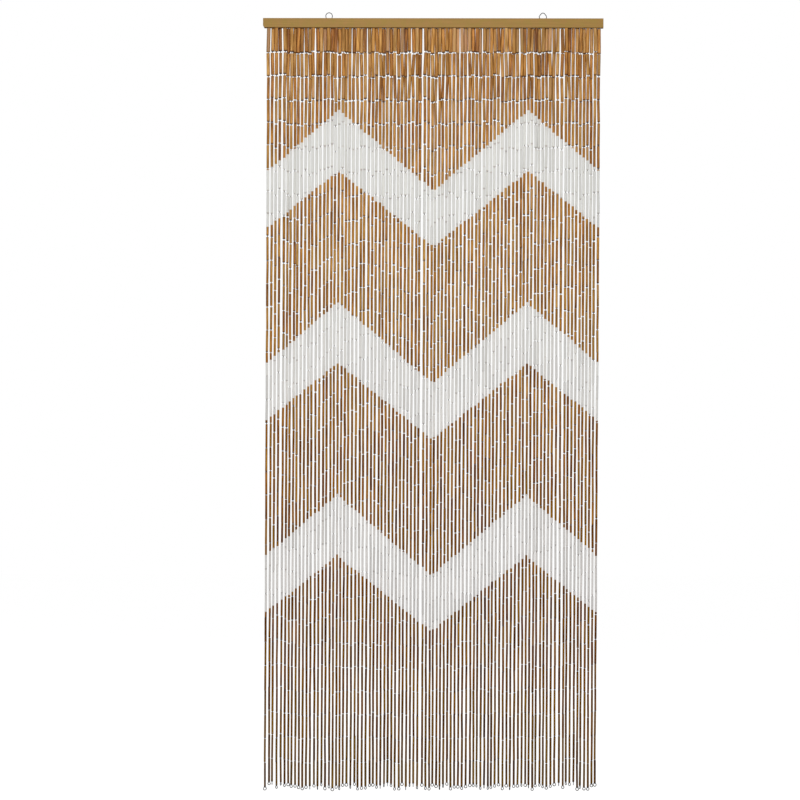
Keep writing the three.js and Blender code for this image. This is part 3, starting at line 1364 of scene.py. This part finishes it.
@dataclass
class LinkWires:
    """The bent wires that join the tubes, hook them under the rail and hold the end rings.

    Args:
        plan: Where the strands hang.
    """

    plan: StrandPlan
    radius: float = 0.5 * MM
    half_width: float = 0.9 * MM
    bend_share: float = 0.9
    sides: int = 4
    leg: float = 1.6 * MM
    end_depth: float = 1.7 * MM

    def _hooks(self, root: np.ndarray, tip: np.ndarray, turn: np.ndarray) -> tuple[np.ndarray, np.ndarray]:
        """Hairpin wires: two legs from a root and a round bend at a tip.

        The path goes straight from the root towards the tip on one side, round through the tip and back on
        the other side. The sides lie in an upright plane that is turned about Z.

        Args:
            root: Where each hairpin leaves its tube or the rail.
            tip: The middle of its bend.
            turn: Turn of its plane.

        Returns:
            Paths and plane normals.
        """
        side = np.stack([np.cos(turn), np.sin(turn), np.zeros_like(turn)], axis=-1) * self.half_width
        ahead = unit(tip - root)
        start = root - ahead * self.leg
        bend = tip - ahead * self.half_width * self.bend_share
        path = np.stack([start + side, bend + side, tip, bend - side, start - side], axis=-2)
        normals = unit(np.cross(side, ahead))
        return path.reshape(-1, *path.shape[-2:]), normals.reshape(-1, 3)

    def _strand_hooks(self, strands: slice) -> tuple[np.ndarray, np.ndarray]:
        """Every hairpin of some strands: a pair at the rail and at each joint, linked, and one at the end.

        Args:
            strands: Which strands.

        Returns:
            Paths and plane normals.
        """
        tops, bottoms = (ends[strands] for ends in self.plan.tube_ends())
        strand = self.plan.strand_column()[strands]
        eye = tops[:, :1].copy()
        eye[..., 2] = self.plan.rail_bottom
        above = np.concatenate([eye, bottoms[:, :-1]], axis=1)
        middle = (above + tops) / 2
        turn = np.pi * chance(strand, Use.LINK_TURN + self.plan.tube_row())
        end_turn = np.pi * chance(strand[:, 0], Use.RING_TURN) + np.pi / 2
        last = bottoms[:, -1]
        sets = (
            self._hooks(above, middle - self.radius * UP, turn),
            self._hooks(tops, middle + self.radius * UP, turn + np.pi / 2),
            self._hooks(last, last - self.end_depth * UP, end_turn),
        )
        paths, normals = zip(*sets)
        return np.concatenate(paths), np.concatenate(normals)

    def build(self, material: bpy.types.Material) -> list[bpy.types.Object]:
        """Builds one piece of wires for each of the frame's nodes of strands.

        Args:
            material: Wire.

        Returns:
            The pieces.
        """
        pieces = []
        for first in range(0, self.plan.strands, self.plan.per_node):
            paths, normals = self._strand_hooks(slice(first, first + self.plan.per_node))
            name = f"links_{first // self.plan.per_node + 1}"
            points, faces = sweep_wires(paths, normals, self.radius, self.sides, closed=False)
            mesh = mesh_from(name, points, faces)
            pieces.append(add_piece(name, mesh, material, [self.plan.node(first)]))
        return pieces


@dataclass
class EndRings:
    """The wire ring at the lower end of each strand.

    Args:
        plan: Where the strands hang.
    """

    plan: StrandPlan
    radius: float = 3.7 * MM
    radius_spread: float = 0.08
    wire: float = 0.95 * MM
    steps: int = 16
    sides: int = 6
    drop: float = 4.6 * MM

    def build(self, material: bpy.types.Material) -> bpy.types.Object:
        """Builds all rings as one piece.

        Each is a circle in an upright plane, turned about Z by chance, with a round wire along it.

        Args:
            material: Wire.

        Returns:
            The piece.
        """
        strand = np.arange(self.plan.strands)
        centre = self.plan.joints()[:, -1] - self.drop * UP
        turn = np.pi * chance(strand, Use.RING_TURN)
        size = self.radius * (1 + self.radius_spread * either(strand, Use.RING_SIZE))
        level = np.stack([np.cos(turn), np.sin(turn), np.zeros_like(turn)], axis=-1)
        angle = 2 * np.pi * np.arange(self.steps) / self.steps
        circle = np.cos(angle)[:, None] * level[:, None, :] + np.sin(angle)[:, None] * UP
        paths = centre[:, None, :] + size[:, None, None] * circle
        normals = np.stack([np.sin(turn), -np.cos(turn), np.zeros_like(turn)], axis=-1)
        points, faces = sweep_wires(paths, normals, self.wire, self.sides, closed=True)
        mesh = mesh_from("end_rings", points, faces)
        return add_piece("end_rings", mesh, material, self.plan.nodes())


class LoopShape(Enum):
    """How a hanging loop is bent."""

    ROUND = "hanging_loop_left"
    POINTED = "hanging_loop_right"


@dataclass
class HangingLoop:
    """A bent wire loop on top of the rail, with both legs pushed into it.

    Args:
        shape: How it is bent, which also names its node in the frame.
    """

    shape: LoopShape
    wire: float = 2 * MM
    rise: float = 16 * MM
    leg_depth: float = 7.5 * MM
    steps: int = 72
    sides: int = 10
    rounding: int = 9

    # The round bend: an arc that starts at the legs' tops
    radius: float = 8.7 * MM
    leg_top: float = 1.5 * MM
    arc_points: int = 31

    # Corners of half the pointed bend: millimetres out, and up from the rail
    profile: tuple[tuple[float, float], ...] = ((8.6, 1.5), (10.0, 5.0), (7.0, 10.0), (3.0, 14.4))

    def _outline(self) -> np.ndarray:
        """Corners of the bend, from one leg over the top to the other.

        Returns:
            Distance out and height over the rail, for each corner.
        """
        top = self.rise - self.wire / 2
        if self.shape is LoopShape.ROUND:
            up = top - self.radius
            lowest = -math.asin((up - self.leg_top) / self.radius)
            angle = np.linspace(lowest, np.pi - lowest, self.arc_points)
            return np.stack([self.radius * np.cos(angle), up + self.radius * np.sin(angle)], axis=-1)
        half = np.array(self.profile) * MM
        return np.concatenate([half, [[0.0, top]], half[::-1] * (-1, 1)])

    def _path(self) -> np.ndarray:
        """The wire's centre line.

        The corners are joined evenly. Each point is then set to the mean of its neighbours, weighted by a
        raised cosine.

        Returns:
            Distance out and height over the rail, for each point.
        """
        bend = self._outline()
        leg = np.array([[bend[0, 0], -self.leg_depth], [bend[0, 0], 0.0]])
        corners = np.concatenate([leg, bend, leg[::-1] * (-1, 1)])
        run = np.concatenate([[0.0], np.cumsum(np.linalg.norm(np.diff(corners, axis=0), axis=1))])
        even = np.linspace(0, run[-1], self.steps)
        line = np.stack([np.interp(even, run, corners[:, axis]) for axis in range(2)], axis=-1)
        reach = self.rounding // 2
        padded = np.pad(line, ((reach, reach), (0, 0)), mode="reflect", reflect_type="odd")
        weights = np.hanning(self.rounding + 2)[1:-1]
        weights = weights / weights.sum()
        return np.stack([np.convolve(column, weights, mode="valid") for column in padded.T], axis=-1)

    def build(self, material: bpy.types.Material) -> bpy.types.Object:
        """Builds the loop where the frame has it.

        Args:
            material: Wire.

        Returns:
            The piece.
        """
        low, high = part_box(self.shape.value)
        rail_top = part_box("rail")[1].z
        out, height = self._path().T
        path = np.stack([out + (low.x + high.x) / 2, np.zeros_like(out), height + rail_top], axis=-1)
        normal = np.array([[0.0, 1.0, 0.0]])
        points, faces = sweep_wires(path[None], normal, self.wire / 2, self.sides, closed=False)
        name = f"{self.shape.name.lower()}_loop"
        return add_piece(name, mesh_from(name, points, faces), material, [self.shape.value])


class Rail:
    """The painted lath, which keeps the frame's own shape."""

    def dress(self, material: bpy.types.Material) -> None:
        """Gives the frame's rail its finish.

        Args:
            material: Paint.
        """
        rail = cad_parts["rail"]
        for slot in rail.material_slots:
            slot.material = material
        LOG.info("rail: %d faces", len(rail.data.polygons))


@dataclass(frozen=True)
class Lamp:
    """A soft rectangular lamp that points at a target.

    Args:
        name: Name of the lamp.
        power: Its power in watts.
        size: Width and height of its face.
        place: Where it stands.
        target: Where it points.
    """

    name: str
    power: float
    size: tuple[float, float]
    place: Triple
    target: Triple

    def build(self) -> None:
        """Puts the lamp into the scene."""
        light = bpy.data.lights.new(self.name, "AREA")
        light.shape = "RECTANGLE"
        light.size, light.size_y = self.size
        light.energy = self.power
        lamp = bpy.data.objects.new(self.name, light)
        lamp.location = self.place
        aim = Vector(self.target) - Vector(self.place)
        lamp.rotation_euler = aim.to_track_quat("-Z", "Y").to_euler()
        bpy.context.scene.collection.objects.link(lamp)


@dataclass
class Studio:
    """A white studio: floor, soft lights and a face-on camera.

    The photograph is photo_side pixels wide and high. The rail is rail_pixels long in it, and the middle
    of the rail's top edge is at rail_column, rail_row. The camera's roll is in degrees. The white world
    lights the curtain with the ambient share of the strength that the camera sees.
    """

    photo_side: int = 800
    rail_length: float = 890 * MM
    rail_pixels: float = 340.5
    rail_column: float = 432.8
    rail_row: float = 18.1
    roll: float = -0.07
    distance: float = 6.0
    sensor: float = 36.0
    ambient: float = 0.42
    floor_gap: float = 40 * MM
    floor_side: float = 16.0
    floor_tone: Colour = (0.55, 0.55, 0.55, 1.0)
    floor_roughness: float = 0.9
    floor_lift: float = 0.75
    lamps: tuple[Lamp, ...] = (
        Lamp("key", power=36.0, size=(1.8, 1.0), place=(-0.15, -2.4, 0.5), target=(0.0, 0.0, -0.7)),
        Lamp("back", power=14.0, size=(1.6, 1.6), place=(0.8, 2.8, 0.2), target=(0.0, 0.0, -1.0)),
    )

    def _world(self) -> None:
        """White to the camera, and a dimmer soft light on the curtain."""
        world = bpy.data.worlds.new("studio")
        world.use_nodes = True
        world.node_tree.nodes.clear()
        sheet = NodeSheet(world.node_tree)
        path = sheet.add("ShaderNodeLightPath")
        strength = sheet.scaled(path.outputs["Is Camera Ray"], 1.0 - self.ambient, self.ambient)
        background = sheet.add("ShaderNodeBackground")
        sheet.feed(background.inputs["Strength"], strength)
        background.inputs["Color"].default_value = WHITE
        output = sheet.add("ShaderNodeOutputWorld")
        sheet.feed(output.inputs["Surface"], background.outputs[0])
        bpy.context.scene.world = world

    def _floor(self) -> None:
        """A wide pale floor a little below the strands, lit up to white for the camera."""
        height = CAD_BOX[0][2] - self.floor_gap
        half = self.floor_side / 2
        corners = ((-half, -half), (half, -half), (half, half), (-half, half))
        points = np.array([(*corner, height) for corner in corners])
        mesh = mesh_from("floor", points, [np.arange(4)[None, :]])
        material, sheet, shader = new_material("pale_floor")
        shader.inputs["Base Color"].default_value = self.floor_tone
        shader.inputs["Roughness"].default_value = self.floor_roughness
        shader.inputs["Emission Color"].default_value = WHITE
        path = sheet.add("ShaderNodeLightPath")
        lift = sheet.product(path.outputs["Is Camera Ray"], self.floor_lift)
        sheet.feed(shader.inputs["Emission Strength"], lift)
        mesh.materials.append(material)
        floor = bpy.data.objects.new("floor", mesh)
        bpy.context.scene.collection.objects.link(floor)

    def _camera(self) -> None:
        """Face-on, as far off as a long lens stands, with the rail where the photograph has it."""
        middle = self.photo_side / 2
        pixel = self.rail_length / self.rail_pixels
        data = bpy.data.cameras.new("camera")
        data.sensor_width = self.sensor
        data.lens = self.sensor * self.distance / (self.photo_side * pixel)
        camera = bpy.data.objects.new("camera", data)
        low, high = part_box("rail")
        camera.location = (
            -(self.rail_column - middle) * pixel,
            low.y - self.distance,
            high.z - (middle - self.rail_row) * pixel,
        )
        camera.rotation_euler = (math.pi / 2, math.radians(self.roll), 0.0)
        bpy.context.scene.collection.objects.link(camera)
        bpy.context.scene.camera = camera

    def build(self) -> None:
        """Sets up the world, the floor, the lamps and the camera."""
        self._world()
        self._floor()
        for lamp in self.lamps:
            lamp.build()
        self._camera()
        bpy.context.scene.view_settings.view_transform = "Standard"
        LOG.info("studio: floor, lamps and camera")


def main() -> None:
    """Builds the studio and every piece of the curtain, in the order that it is put together."""
    logging.basicConfig(level=logging.INFO, format="%(message)s")
    Studio().build()
    effects = Effects()
    plan = StrandPlan()
    Rail().dress(RailPaint(effects).material())
    loop_wire = WireFinish(effects, Wire.LOOP).material()
    for shape in LoopShape:
        HangingLoop(shape).build(loop_wire)
    TubeRows(plan, ZigzagBands()).build(BambooFinish(effects).material())
    LinkWires(plan).build(WireFinish(effects, Wire.LINK).material())
    EndRings(plan).build(WireFinish(effects, Wire.RING).material())


if __name__ == "__main__":
    main()
